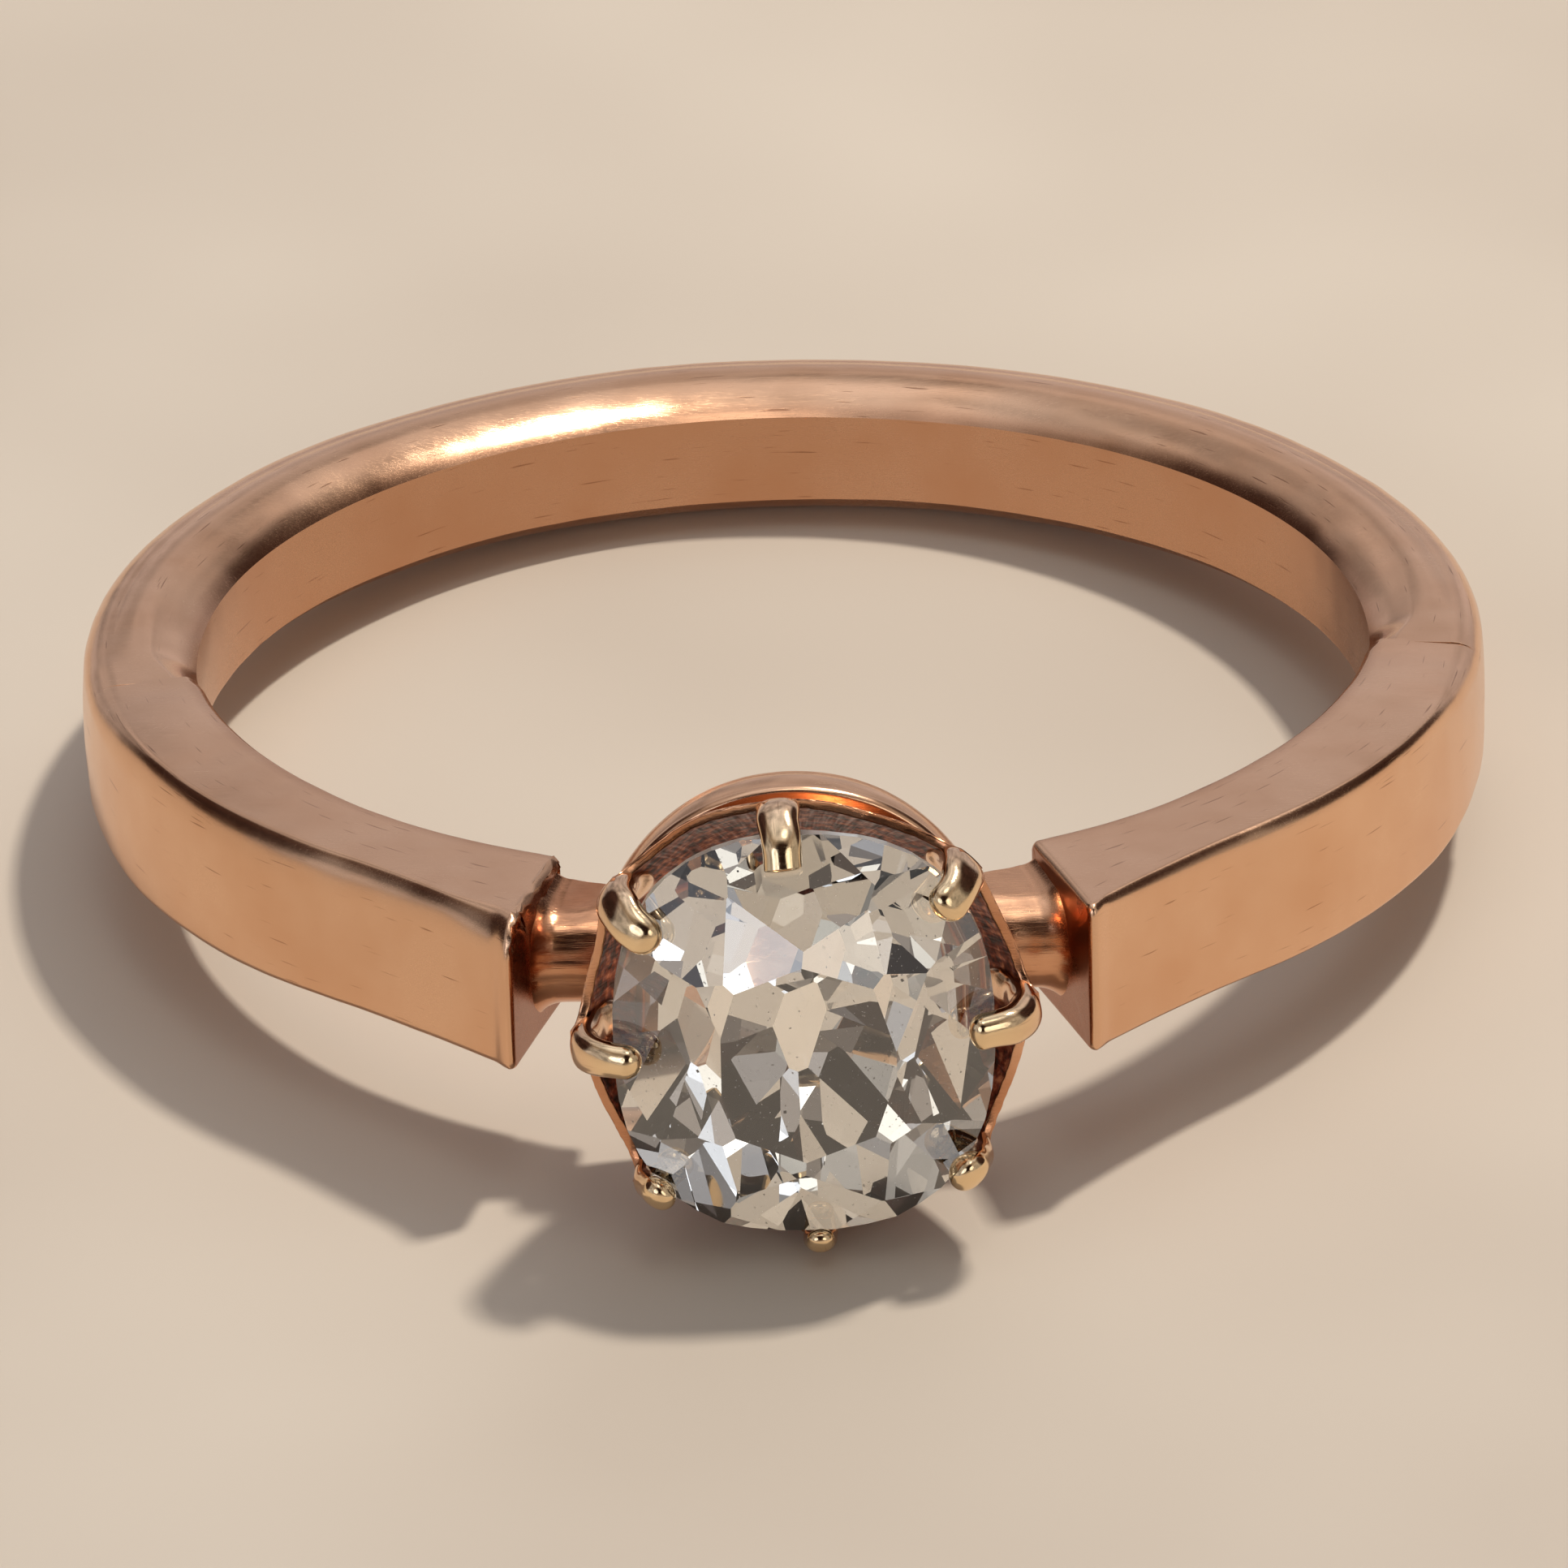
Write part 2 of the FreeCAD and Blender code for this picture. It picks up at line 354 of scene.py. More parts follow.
# A darker copy of the rose gold, as painted shade for the necks and the cup; its second colour,
# #A0603C, darkens the cup's outside as painted shade.
SHADED_GOLD = rose_gold("rose_gold_in_shade", "#E6B08A", "#C48660", 0.12, 0.26, 0.3,
                      "#A0603C", 0.05)
CLAW_GOLD = rose_gold("pale_gold_polished", "#F0CBAA", "#E9C09C", 0.09, 0.16, 0.12,
                      "#F5D6AA", -0.03)

# %% [markdown]
# ### The cup's raw inside
# The inside of the cup can't be polished once the stone is in. It keeps the graver's marks
# from the foot to the rim and has gone a dark copper red.

# %% Raw copper-red gold
def raw_gold():
    """Dark, rough gold with marks along the wall, drawn on the cup's own arc lengths."""
    material, tree, shader, place = new_material("rose_gold_raw")
    lengths = add(tree, "UVMap", uv_map="lengths_mm")
    squeezed = add(tree, "Mapping", {"Vector": lengths, "Scale": (1 / 0.05, 1 / 0.9, 1.0)})
    marks = add(tree, "TexNoise", {"Vector": squeezed, "Scale": 1.0, "Detail": 3.0})
    pits = add(tree, "TexNoise", {"Vector": place, "Scale": 1 / (0.14 * MM), "Detail": 5.0})
    tone = add(tree, "ValToRGB", {"Fac": pits}, stops=[
        (0.38, linear("#32150C")), (0.52, linear("#7A3520")), (0.7, linear("#C27A52"))])
    rough = add(tree, "MapRange", {
        "Value": marks, "From Min": 0.3, "From Max": 0.7, "To Min": 0.28, "To Max": 0.55})
    height = add(tree, "Math", {0: pits, 1: 0.5, 2: marks}, operation="MULTIPLY_ADD")
    relief = add(tree, "Bump", {"Height": height, "Strength": 0.7, "Distance": 0.02 * MM})
    set_sockets(tree, shader, {
        "Base Color": tone, "Roughness": rough, "Normal": relief, "Metallic": 1.0})
    return material


RAW_GOLD = raw_gold()

# %% [markdown]
# ### Diamond
# Diamond bends light far more than glass, IOR 2.417, so most of what enters the crown comes
# back out of it. The polished facets are smooth but for a little dust, and the girdle was
# only ground round and stays frosted. Small crystals of garnet and carbon can lie inside.

# %% Diamond
def clear_stone(name, lowest, dusty, tint, ior):
    """A clear crystal; specks of dust raise its roughness from lowest to dusty."""
    material, tree, shader, place = new_material(name)
    specks = add(tree, "TexNoise", {"Vector": place, "Scale": 1 / (0.035 * MM), "Detail": 2.0})
    rough = add(tree, "MapRange", {
        "Value": specks, "From Min": 0.70, "From Max": 0.76, "To Min": lowest, "To Max": dusty})
    set_sockets(tree, shader, {
        "Base Color": linear(tint), "Roughness": rough,
        "IOR": ior, "Transmission Weight": 1.0})
    return material


def carbon():
    """A black inclusion with a dull, slightly uneven face."""
    material, tree, shader, place = new_material("carbon_inclusion")
    grain = add(tree, "TexNoise", {"Vector": place, "Scale": 1 / (0.03 * MM)})
    tone = add(tree, "ValToRGB", {"Fac": grain}, stops=[
        (0.3, linear("#0B0908")), (0.7, linear("#2A211B"))])
    set_sockets(tree, shader, {"Base Color": tone, "Roughness": 0.6})
    return material


DIAMOND_IOR, GARNET_IOR = 2.417, 1.75
FACET = clear_stone("diamond_polished", 0.0, 0.35, "#FDFAF2", DIAMOND_IOR)
GIRDLE = clear_stone("diamond_ground_girdle", 0.30, 0.50, "#F4EEE0", DIAMOND_IOR)
CARBON = carbon()
PALE_CRYSTAL = clear_stone("pale_crystal_inclusion", 0.25, 0.6, "#FFFFFF", GARNET_IOR)

# %% [markdown]
# ## The band's section
# The band is a rounded block: at every station it spans from an inner to an outer point and
# its four edges have their own rounding. The section is a closed line of four quarter
# ellipses joined by straight faces that may swell a little. The edges of the finger hole are
# flatter, as a finger wears them.

# %% Rounded block along a path
CORNER_STEPS = 12
INNER_FLAT = 0.66  # share of the way from a quarter ellipse to a chamfer
FACE_SHARES = np.array([0.02, 0.06, 0.14, 0.26, 0.4, 0.5, 0.6, 0.74, 0.86, 0.94, 0.98])


def quarter(centre_a, centre_z, deep, high, start, flat=0.0):
    """Quarter ellipses for all stations at once, from the angle start, counterclockwise.

    flat moves each point that share of the way to the straight chamfer between the ends.
    """
    share = np.linspace(0, 1, CORNER_STEPS)[None, :]
    turn = start + math.pi / 2 * share
    arc = np.stack([centre_a + deep * np.cos(turn), centre_z + high * np.sin(turn)], -1)
    chamfer = arc[:, :1] * (1 - share[..., None]) + arc[:, -1:] * share[..., None]
    return arc + flat * (chamfer - arc)


def straight(begin, end, swell, outward):
    """Straight face between two corners, bowed outward as a parabola of height swell."""
    share = FACE_SHARES[None, :, None]
    face = begin[:, None] * (1 - share) + end[:, None] * share
    return face + 4 * share * (1 - share) * np.reshape(swell, (-1, 1, 1)) * np.array(outward)


def block_section(depth, half, rounds, swells):
    """Closed sections (stations, points, 2) in (distance from inner point, height).

    rounds are the (depth, height) radii of the outer-low, outer-high, inner-high and
    inner-low edges; swells bow the outer, side and inner faces.
    """
    radii = [[np.broadcast_to(np.asarray(value, float), depth.shape)[:, None] for value in pair]
             for pair in rounds]
    (low_d, low_h), (high_d, high_h), (inner_d, inner_h), (under_d, under_h) = radii
    depth, half = depth[:, None], half[:, None]
    corners = [
        quarter(depth - low_d, low_h - half, low_d, low_h, -math.pi / 2),
        quarter(depth - high_d, half - high_h, high_d, high_h, 0.0),
        quarter(inner_d, half - inner_h, inner_d, inner_h, math.pi / 2, INNER_FLAT),
        quarter(under_d, under_h - half, under_d, under_h, math.pi, INNER_FLAT),
    ]
    outer_swell, side_swell, inner_swell = swells
    bows = [(outer_swell, (1, 0)), (side_swell, (0, 1)), (inner_swell, (-1, 0)),
            (side_swell, (0, -1))]
    parts = []
    for index, (swell, outward) in enumerate(bows):
        following = corners[(index + 1) % 4]
        parts += [corners[index],
                  straight(corners[index][:, -1], following[:, 0], swell, outward)]
    parts.append(corners[0][:, :1])
    return np.concatenate(parts, axis=1)


def block(inner, outer, half, rounds, swells):
    """Points of a rounded block whose stations run from inner to outer, both (n, 2) in XY."""
    depth = np.linalg.norm(outer - inner, axis=1)
    direction = unit(outer - inner)
    section = block_section(depth, half, rounds, swells)
    flat = inner[:, None] + direction[:, None] * section[..., :1]
    return np.concatenate([flat, section[..., 1:]], axis=-1)


ROLL_ROWS = 6
FACE_KEEPS = (0.97, 0.9, 0.78, 0.62, 0.45, 0.25, 0.0)  # sizes of the rings of an end face
CAP_ROWS = ROLL_ROWS + len(FACE_KEEPS)


def capped(points, first_round, last_round):
    """Close both ends: roll each edge over a quarter circle, then shrink flat to the middle."""
    return np.concatenate([end_cap(points[0], points[0] - points[1], first_round)[::-1],
                           points, end_cap(points[-1], points[-1] - points[-2], last_round)])


def end_cap(ring, step, radius):
    """Rows that close one end: the rolled edge and the flat face of the end.

    The end face leans as the ring does, so its outward side is worked out from the ring.
    """
    middle = ring.mean(axis=0)
    spread = ring - middle
    face_normal = np.linalg.svd(spread, full_matrices=False)[2][2]
    outward = face_normal * np.sign(face_normal @ step.mean(axis=0))
    reach = np.linalg.norm(spread, axis=1, keepdims=True)
    turns = np.linspace(0, math.pi / 2, ROLL_ROWS + 1)[1:]
    rolled = [middle + spread * (1 - radius * (1 - math.cos(t)) / reach)
              + outward * radius * math.sin(t) for t in turns]
    face = [rolled[-1] * keep + rolled[-1].mean(axis=0) * (1 - keep) for keep in FACE_KEEPS]
    return np.stack(rolled + face)


def around_finger(radius, degrees):
    """Points of a circle round the finger, in XY."""
    turn = np.radians(degrees)
    return np.stack([radius * np.cos(turn), radius * np.sin(turn)], axis=-1)

# %% [markdown]
# ## Shank
# The back of the band is a little narrower than the shoulders and its inner edges are worn
# round, and both stop at a seam on each side. A slow ripple of a few hundredths of a
# millimetre keeps its reflections from looking machine-made.

# %% Shank
SEAM_ANGLE = 8.0
SEAM_ROLL = 0.003
SEAM_HAIR = 0.02  # degrees between the last two stations beside a seam
SHANK_STATIONS = 520
WAVE_LONG, WAVE_LONG_HEIGHT = 4.2, 0.016
WAVE_SHORT, WAVE_SHORT_HEIGHT = 0.9, 0.0025
BAND_SEED = 11


def surface_normals(points):
    """Outward direction on a grid whose columns close on themselves."""
    along = np.gradient(points, axis=0)
    across = np.roll(points, -1, axis=1) - np.roll(points, 1, axis=1)
    across[:, 0] = across[:, -1] = points[:, 1] - points[:, -2]
    return unit(np.cross(across, along))


def hand_finished(points, seed, side=1):
    """The grid with the slow and quick unevenness of filing and polishing by hand.

    side is -1 for a piece that is mirrored afterwards, so that the waves run on over a seam.
    """
    place = points * np.array([side, 1, 1])
    lift = (WAVE_LONG_HEIGHT * ripple(place, WAVE_LONG, seed)
            + WAVE_SHORT_HEIGHT * ripple(place, WAVE_SHORT, seed + 1))
    return points + surface_normals(points) * lift[..., None]


WORN_OUTSIDE, WORN_INSIDE = (0.42, 0.30), (0.64, 0.38)  # (depth, height) of the edges
LESS_AT_SEAM, SEAM_REACH = (0.24, 0.12), 7.0  # off WORN_INSIDE, and over degrees
OUTER_SWELL, SHANK_SWELL = 0.03, 0.045
TRIM = 0.03  # kept back from the CAD's faces for swell and waves
SEAM_CLEAR = 10.0  # degrees at which the swell has reached its full height
# How far the wall of the finger hole is darkened towards the band's second colour, as painted
# shade.
BORE_PAINTED_SHADE = 0.45


def painted_bore_shade(points):
    """Painted shade on the wall of the finger hole, fading out over a quarter of a millimetre."""
    return BORE_PAINTED_SHADE * smooth(0.28, 0.03, np.hypot(points[..., 0], points[..., 1]) - BORE_R)


def make_shank():
    """Arc stations at even angles; the worn inner edges narrow a little beside the seams."""
    degrees = np.linspace(-SEAM_ANGLE, 180 + SEAM_ANGLE, SHANK_STATIONS)
    degrees[1], degrees[-2] = degrees[0] + SEAM_HAIR, degrees[-1] - SEAM_HAIR
    above_side = 90 - np.abs(degrees - 90)  # degrees from the X axis, alike on both sides
    inner, outer = around_finger(BORE_R, degrees), around_finger(BAND_R - TRIM, degrees)
    half = np.full(SHANK_STATIONS, SHANK_HALF - TRIM)
    beside_seam = smooth(-SEAM_ANGLE + SEAM_REACH, -SEAM_ANGLE, above_side)
    inside = tuple(worn - less * beside_seam for worn, less in zip(WORN_INSIDE, LESS_AT_SEAM))
    edges = (WORN_OUTSIDE, WORN_OUTSIDE, inside, inside)
    clear = smooth(-SEAM_ANGLE, SEAM_CLEAR, above_side)
    points = block(inner, outer, half, edges, (OUTER_SWELL, SHANK_SWELL * clear, 0.0))
    points = capped(hand_finished(points, BAND_SEED), SEAM_ROLL, SEAM_ROLL)
    return stand_for(skin("shank_worn", points, BAND_GOLD, painted_bore_shade(points)), "shank")


make_shank()

# %% [markdown]
# ## Shoulders
# Each shoulder leaves the circle of the band and runs out to a prow beside the setting,
# where it ends in a flat face. Their edges are crisper than the shank's, but the left one
# has lost its upper corner to wear.

# %% Shoulders
SHOULDER_STATIONS = 260
SEAM_LAP = 0.5  # degrees by which a shoulder runs on inside the shank
FLARE_FROM = 50.0  # degrees below the X axis where the side leaves the circle
PROW = (4.02, -10.15)
CORNER_X = 3.28
LAP_TRIM, SHOULDER_TRIM = 0.031, 0.020  # as TRIM, inside the shank and beyond
SETTLED, PROW_FROM, EASE_FROM = 0.30, 0.88, 0.96  # shares of the shoulder's length
LOWER_EDGE, INNER_EDGE = 0.13, 0.10
END_ROLL = 0.10
FILE_TOOTH = 0.07  # width of a tooth mark of the file
FILED_ROWS, PAINTED_SHADE_FROM = 9, 4  # rows of the end cap with file marks, and the first one painted darker as shade and made rougher


def flare(begin, begin_step, end, end_step, share):
    """Cubic curve with given ends and end directions (Hermite form)."""
    s = share[:, None]
    return ((2 * s ** 3 - 3 * s ** 2 + 1) * begin + (s ** 3 - 2 * s ** 2 + s) * begin_step
            + (3 * s ** 2 - 2 * s ** 3) * end + (s ** 3 - s ** 2) * end_step)


def shoulder_lines():
    """Inner and outer outline of the right shoulder, station by station."""
    corner_angle = math.degrees(math.acos(CORNER_X / BORE_R))
    down = np.linspace(SEAM_ANGLE - SEAM_LAP, corner_angle, SHOULDER_STATIONS)
    down[1] = down[0] + SEAM_HAIR
    inner = around_finger(BORE_R, -down)
    outer = around_finger(BAND_R, -down)
    leaving = down > FLARE_FROM
    share = (down[leaving] - FLARE_FROM) / (corner_angle - FLARE_FROM)
    begin = around_finger(BAND_R, -FLARE_FROM)
    prow = np.array(PROW)
    length = np.linalg.norm(prow - begin)
    tangent = np.array([-math.sin(math.radians(FLARE_FROM)), -math.cos(math.radians(FLARE_FROM))])
    arriving = unit(np.array([-1.0, -1.05]))
    outer[leaving] = flare(begin, tangent * length, prow, arriving * length, share)
    return inner, outer, down


def make_shoulder(name, side, upper, prow, filed):
    """One shoulder; side is 1 on the right and -1 on the left, which is mirrored.

    upper and prow are the (depth, height) radii of the upper outer edge along the shoulder
    and beside the setting; filed is how coarse the top of the end face is.
    """
    inner, outer, down = shoulder_lines()
    along = (down - down[0]) / (down[-1] - down[0])
    settle, near_prow = smooth(0, SETTLED, along), smooth(PROW_FROM, 1, along)
    widened = SHOULDER_HALF - SHANK_HALF + LAP_TRIM - SHOULDER_TRIM
    half = SHANK_HALF - LAP_TRIM + widened * settle
    upper_edge = [start + (middle - start) * settle + (end - middle) * near_prow
                  for start, middle, end in zip(WORN_OUTSIDE, upper, prow)]
    lower_edge = [start + (LOWER_EDGE - start) * settle for start in WORN_OUTSIDE]
    inner_edge = [INNER_EDGE + INNER_EDGE * (1 - smooth(0, 0.05, along))] * 2
    ease = END_ROLL * smooth(EASE_FROM, 1, along)[:, None] * np.array([1.0, 0.3])
    edges = (lower_edge, upper_edge, inner_edge, inner_edge)
    side_swell = SHANK_SWELL * smooth(0, 0.2, along) * (1 - 0.8 * settle)
    points = block(inner + ease, outer + ease, half, edges,
                   (OUTER_SWELL - 0.01 * settle, side_swell, 0.0))
    points = capped(hand_finished(points, BAND_SEED, side), SEAM_ROLL, END_ROLL)
    grain = ripple(points, FILE_TOOTH, 33) * smooth(0.55, 0.95, points[..., 2])
    marked = slice(-CAP_ROWS, -CAP_ROWS + FILED_ROWS)
    points[marked] += filed * grain[marked, :, None]
    # Painted shade: the wall of the finger hole and the end face take the band's darker second
    # colour.
    tone = painted_bore_shade(points)
    tone[-CAP_ROWS + PAINTED_SHADE_FROM:] = 1.0
    points[..., 0] *= side
    return stand_for(skin(name + "_worn", points, BAND_GOLD, tone), name)


make_shoulder("right_shoulder", 1, (0.15, 0.26), (0.13, 0.16), 0.003)
make_shoulder("left_shoulder", -1, (0.24, 0.66), (0.46, 0.66), 0.032)

# %% [markdown]
# ## Gallery ring and necks
# The setting stands on a short oval tube, the gallery ring, and a neck on each side ties it
# to the shoulders. The solder has drawn a small cove where each neck meets its neighbours.

# %% Gallery ring
RING_LOW, RING_HIGH = span("gallery_ring")
RING_R, RING_RZ = RING_HIGH[0], RING_HIGH[2]
OVAL = RING_RZ / RING_R
RING_BACK, RING_FRONT = RING_HIGH[1], RING_LOW[1]
RING_WALL = 0.62
RING_FLARE, RING_OFF = 0.09, -0.06  # wider in front, and a little to the left
RING_ROUND = RING_RZ + 0.02
TURNS = 720


def make_gallery_ring():
    """A rounded block section turned about the stone's axis, flared towards the front."""
    depth, half = np.array([RING_WALL]), np.array([(RING_BACK - RING_FRONT) / 2])
    section = block_section(depth, half, ((0.10, 0.12), (0.16, 0.22), (0.08, 0.08), (0.08, 0.08)),
                            (0.035, 0.0, 0.0))[0]
    forward = 0.5 - section[:, 1] / (RING_BACK - RING_FRONT)
    radius = RING_ROUND - RING_WALL + section[:, 0] + RING_FLARE * forward
    y = (RING_BACK + RING_FRONT) / 2 + section[:, 1]
    turn = np.linspace(0, 2 * math.pi, TURNS + 1)[:, None]
    x, z = radius * np.cos(turn) + RING_OFF, radius * np.sin(turn)
    points = np.stack([x, np.broadcast_to(y, x.shape), z], axis=-1)
    lift = 0.008 * ripple(points, 2.2, 41) + 0.0015 * ripple(points, 0.5, 42)
    points = widened(points, lift, RING_R)
    points[-1] = points[0]
    return stand_for(skin("gallery_ring_turned", points, BAND_GOLD), "gallery_ring")


make_gallery_ring()

# %% [markdown]
# The necks are wedges: thick towards the finger and rounded off in front. Their ends follow
# the round wall of the gallery ring and the slanted faces of the shoulders.

# %% Necks
NECK_BACK_HALF, NECK_FRONT_HALF = 0.82, 0.66
NECK_FRONT = span("right_neck")[0][1] + 0.02
NECK_ROUND = (0.52, 0.80)  # depth in mm, height as a share
NECK_BITE = 0.06  # how far its ends reach into their neighbours
COVE_SHOULDER, COVE_RING = 0.30, 0.12
NECK_STATIONS = 64
CORNER_DEPTH = math.sqrt(BORE_R ** 2 - CORNER_X ** 2)  # how far in front the corner lies


def cove(distance, radius):
    """How far a quarter-circle solder cove stands out at a distance from the joint."""
    inside = np.clip(1 - distance / radius, 0, 1)
    return radius * (1 - np.sqrt(1 - inside ** 2))


def make_neck(name, side, seed):
    """A rounded wedge section drawn from the gallery ring's side to the slanted end face."""
    share = np.linspace(0, 1, NECK_STATIONS)
    ring_x, end_x = RING_R - NECK_BITE, CORNER_X + 0.28
    length = end_x - ring_x
    grow = cove(share * length, COVE_RING) + cove((1 - share) * length, COVE_SHOULDER)
    x_mid = ring_x + share * length
    back = -np.sqrt((BORE_R + 0.03) ** 2 - np.clip(x_mid, 0, CORNER_X) ** 2)
    depth = back - NECK_FRONT + 0.5 * grow
    half = np.ones(NECK_STATIONS)
    section = block_section(depth, half, (NECK_ROUND,) * 2 + ((0.15, 0.15),) * 2,
                            (0.02, 0.0, 0.0))
    to_back = 1 - section[..., 0] / depth[:, None]
    height = NECK_FRONT_HALF + (NECK_BACK_HALF - NECK_FRONT_HALF) * to_back + grow[:, None] * 0.8
    y = back[:, None] - section[..., 0]
    z = section[..., 1] * height
    slope = (PROW[0] - CORNER_X) / (PROW[1] + CORNER_DEPTH)
    x_ring = ring_x * np.sqrt(np.clip(1 - (z / RING_RZ) ** 2, 0, 1))
    x_end = CORNER_X + slope * (y + CORNER_DEPTH) + NECK_BITE
    x = x_ring * (1 - share[:, None]) + x_end * share[:, None]
    points = np.stack([x, y, z], axis=-1)
    points = points + surface_normals(points) * (0.008 * ripple(points, 0.6, seed))[..., None]
    points = capped(points, 0.01, 0.01)
    points[..., 0] *= side
    return stand_for(skin(name + "_coved", points, SHADED_GOLD), name)


make_neck("right_neck", 1, 51)
make_neck("left_neck", -1, 52)

# %% [markdown]
# ## Diamond
# A cut stone is the space inside a set of planes. Each facet is a plane through the girdle
# outline or the table's edge with its own slope, and the corners of the stone are the points
# where three planes meet and no other plane cuts them off. All those points are found at
# once from every choice of three planes, and their convex hull is the stone.

# %% Planes of an old mine cut
STONE_LOW, STONE_HIGH = span("diamond")
STONE_X, STONE_Z = STONE_HIGH[0], STONE_HIGH[2]
CUSHION_POWER = 2.45
GIRDLE_Y, GIRDLE_T = -11.50, 0.10
CROWN_FRONT, PAVILION_BACK = STONE_LOW[1], STONE_HIGH[1]
TABLE_SHARE = 0.45
GIRDLE_PLANES = 40


def cushion(degrees):
    """Outline of the stone seen along its axis: a superellipse, as (x, z)."""
    turn = np.radians(degrees)
    power = 2 / CUSHION_POWER
    return np.stack([signed_power(np.cos(turn), power) * STONE_X,
                     signed_power(np.sin(turn), power) * STONE_Z], axis=-1)


def facet_planes(degrees, slope, level, share, front):
    """Planes (normal, offset) that lean from the outline, or a share of it, to the axis.

    slope is in degrees from the girdle's plane; front is True for the crown.
    """
    point = cushion(degrees) * share
    ahead, behind = cushion(degrees + 3), cushion(degrees - 3)
    edge = unit(ahead - behind)
    out = np.stack([edge[:, 1], -edge[:, 0]], axis=-1)
    out *= np.sign((out * point).sum(axis=-1, keepdims=True))
    lean = np.radians(slope)
    sign = -1.0 if front else 1.0
    across = out * np.sin(lean)[:, None]
    normal = np.stack([across[:, 0], sign * np.cos(lean), across[:, 1]], axis=-1)
    place = np.stack([point[:, 0], np.full(len(point), level), point[:, 1]], axis=-1)
    return np.concatenate([normal, (normal * place).sum(axis=-1, keepdims=True)], axis=1)


def stone_planes():
    """Every facet, each a little out of true as on a stone cut by eye."""
    draw = np.random.default_rng(7)
    eighths, sixteenths = np.arange(8) * 45.0, 11.25 + np.arange(16) * 22.5
    front, back = GIRDLE_Y - GIRDLE_T / 2, GIRDLE_Y + GIRDLE_T / 2

    def near(degrees, spread):
        return degrees + draw.uniform(-spread, spread, len(degrees))

    def lean(slope, count, spread):
        return slope + draw.uniform(-spread, spread, count)

    round_girdle = np.arange(GIRDLE_PLANES) * 360.0 / GIRDLE_PLANES
    girdle = facet_planes(round_girdle, np.full(GIRDLE_PLANES, 90.0), GIRDLE_Y, 1.0, True)
    mid = eighths + 22.5
    flats = np.array([[0, -1, 0, -CROWN_FRONT], [0.02, 1, -0.015, PAVILION_BACK]])
    return np.concatenate([
        facet_planes(near(eighths, 2.5), lean(36.0, 8, 1.5), front, 1.0, True),
        facet_planes(near(sixteenths, 2.0), lean(42.0, 16, 2.0), front, 1.0, True),
        facet_planes(near(mid, 3.0), lean(24.0, 8, 2.0), CROWN_FRONT, TABLE_SHARE, True),
        facet_planes(near(mid, 2.5), lean(44.5, 8, 1.2), back, 1.0, False),
        facet_planes(near(sixteenths, 1.5), lean(47.0, 16, 1.0), back, 1.0, False),
        girdle, flats])

# %% [markdown]
# About a hundred planes give 152,000 choices of three, which are solved in batches.

# %% Corners and hull of the stone
def plane_corners(planes, batch=40000):
    """Points where three planes meet and that no plane cuts off."""
    i, j, k = np.array([(a, b, c) for a in range(len(planes)) for b in range(a)
                        for c in range(b)]).T
    kept = []
    for start in range(0, len(i), batch):
        part = slice(start, start + batch)
        triple = np.stack([planes[i[part]], planes[j[part]], planes[k[part]]], axis=1)
        normals, offsets = triple[..., :3], triple[..., 3:]
        sound = np.abs(np.linalg.det(normals)) > 1e-5
        points = np.linalg.solve(normals[sound], offsets[sound])[..., 0]
        inside = (points @ planes[:, :3].T - planes[:, 3] < 1e-6).all(axis=1)
        kept.append(points[inside])
    return np.concatenate(kept)


def make_diamond():
    """The hull of the corners, with its flat facets merged and its girdle frosted."""
    corners = plane_corners(stone_planes())
    work = bmesh.new()
    for corner in corners:
        work.verts.new(corner * MM)
    bmesh.ops.remove_doubles(work, verts=work.verts, dist=1e-6)
    hull = bmesh.ops.convex_hull(work, input=work.verts)
    loose = [item for item in hull["geom_interior"] if isinstance(item, bmesh.types.BMVert)]
    bmesh.ops.delete(work, geom=loose, context="VERTS")
    bmesh.ops.dissolve_limit(work, angle_limit=math.radians(0.3), verts=work.verts,
                             edges=work.edges)
    bmesh.ops.recalc_face_normals(work, faces=work.faces)
    for face in work.faces:
        middle = face.calc_center_median()
        face.material_index = int(abs(face.normal.y) < 0.02
                                  and abs(middle.y / MM - GIRDLE_Y) < GIRDLE_T)
    mesh = bpy.data.meshes.new("diamond_cut")
    work.to_mesh(mesh)
    work.free()
    print("diamond_cut: %d facets" % len(mesh.polygons))
    return stand_for(shown("diamond_cut", mesh, FACET, GIRDLE), "diamond")


make_diamond()

# %% [markdown]
# ## Inclusions
# A few black specks of carbon and a veil of tiny pale crystals lie inside the stone. Each is
# an eight-sided grain of its own size and turn, and the facets show it several times over.

# %% Inclusions
GRAIN_CORNERS = np.array([[1, 0, 0], [-1, 0, 0], [0, 1, 0], [0, -1, 0], [0, 0, 1], [0, 0, -1]],
                         float)
GRAIN_FACES = np.array([[0, 2, 4], [2, 1, 4], [1, 3, 4], [3, 0, 4],
                        [2, 0, 5], [1, 2, 5], [3, 1, 5], [0, 3, 5]])


def make_grains(name, centres, sizes, material, seed):
    """Octahedra, stretched and turned at random: corner = centre + turn (corner x size)."""
    draw = np.random.default_rng(seed)
    turns = np.linalg.qr(draw.normal(size=(len(centres), 3, 3)))[0]
    turns *= np.sign(np.linalg.det(turns))[:, None, None]
    stretch = sizes[:, None] * draw.uniform(0.5, 1.0, (len(centres), 3))
    corners = np.einsum("nij,nkj->nki", turns, GRAIN_CORNERS * stretch[:, None, :])
    corners += centres[:, None, :]
    faces = GRAIN_FACES + 6 * np.arange(len(centres))[:, None, None]
    grains = shown(name, mesh_from(name, corners, faces.reshape(-1, 3)), material)
    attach(grains, "root")
    print("%s: %d grains" % (name, len(centres)))


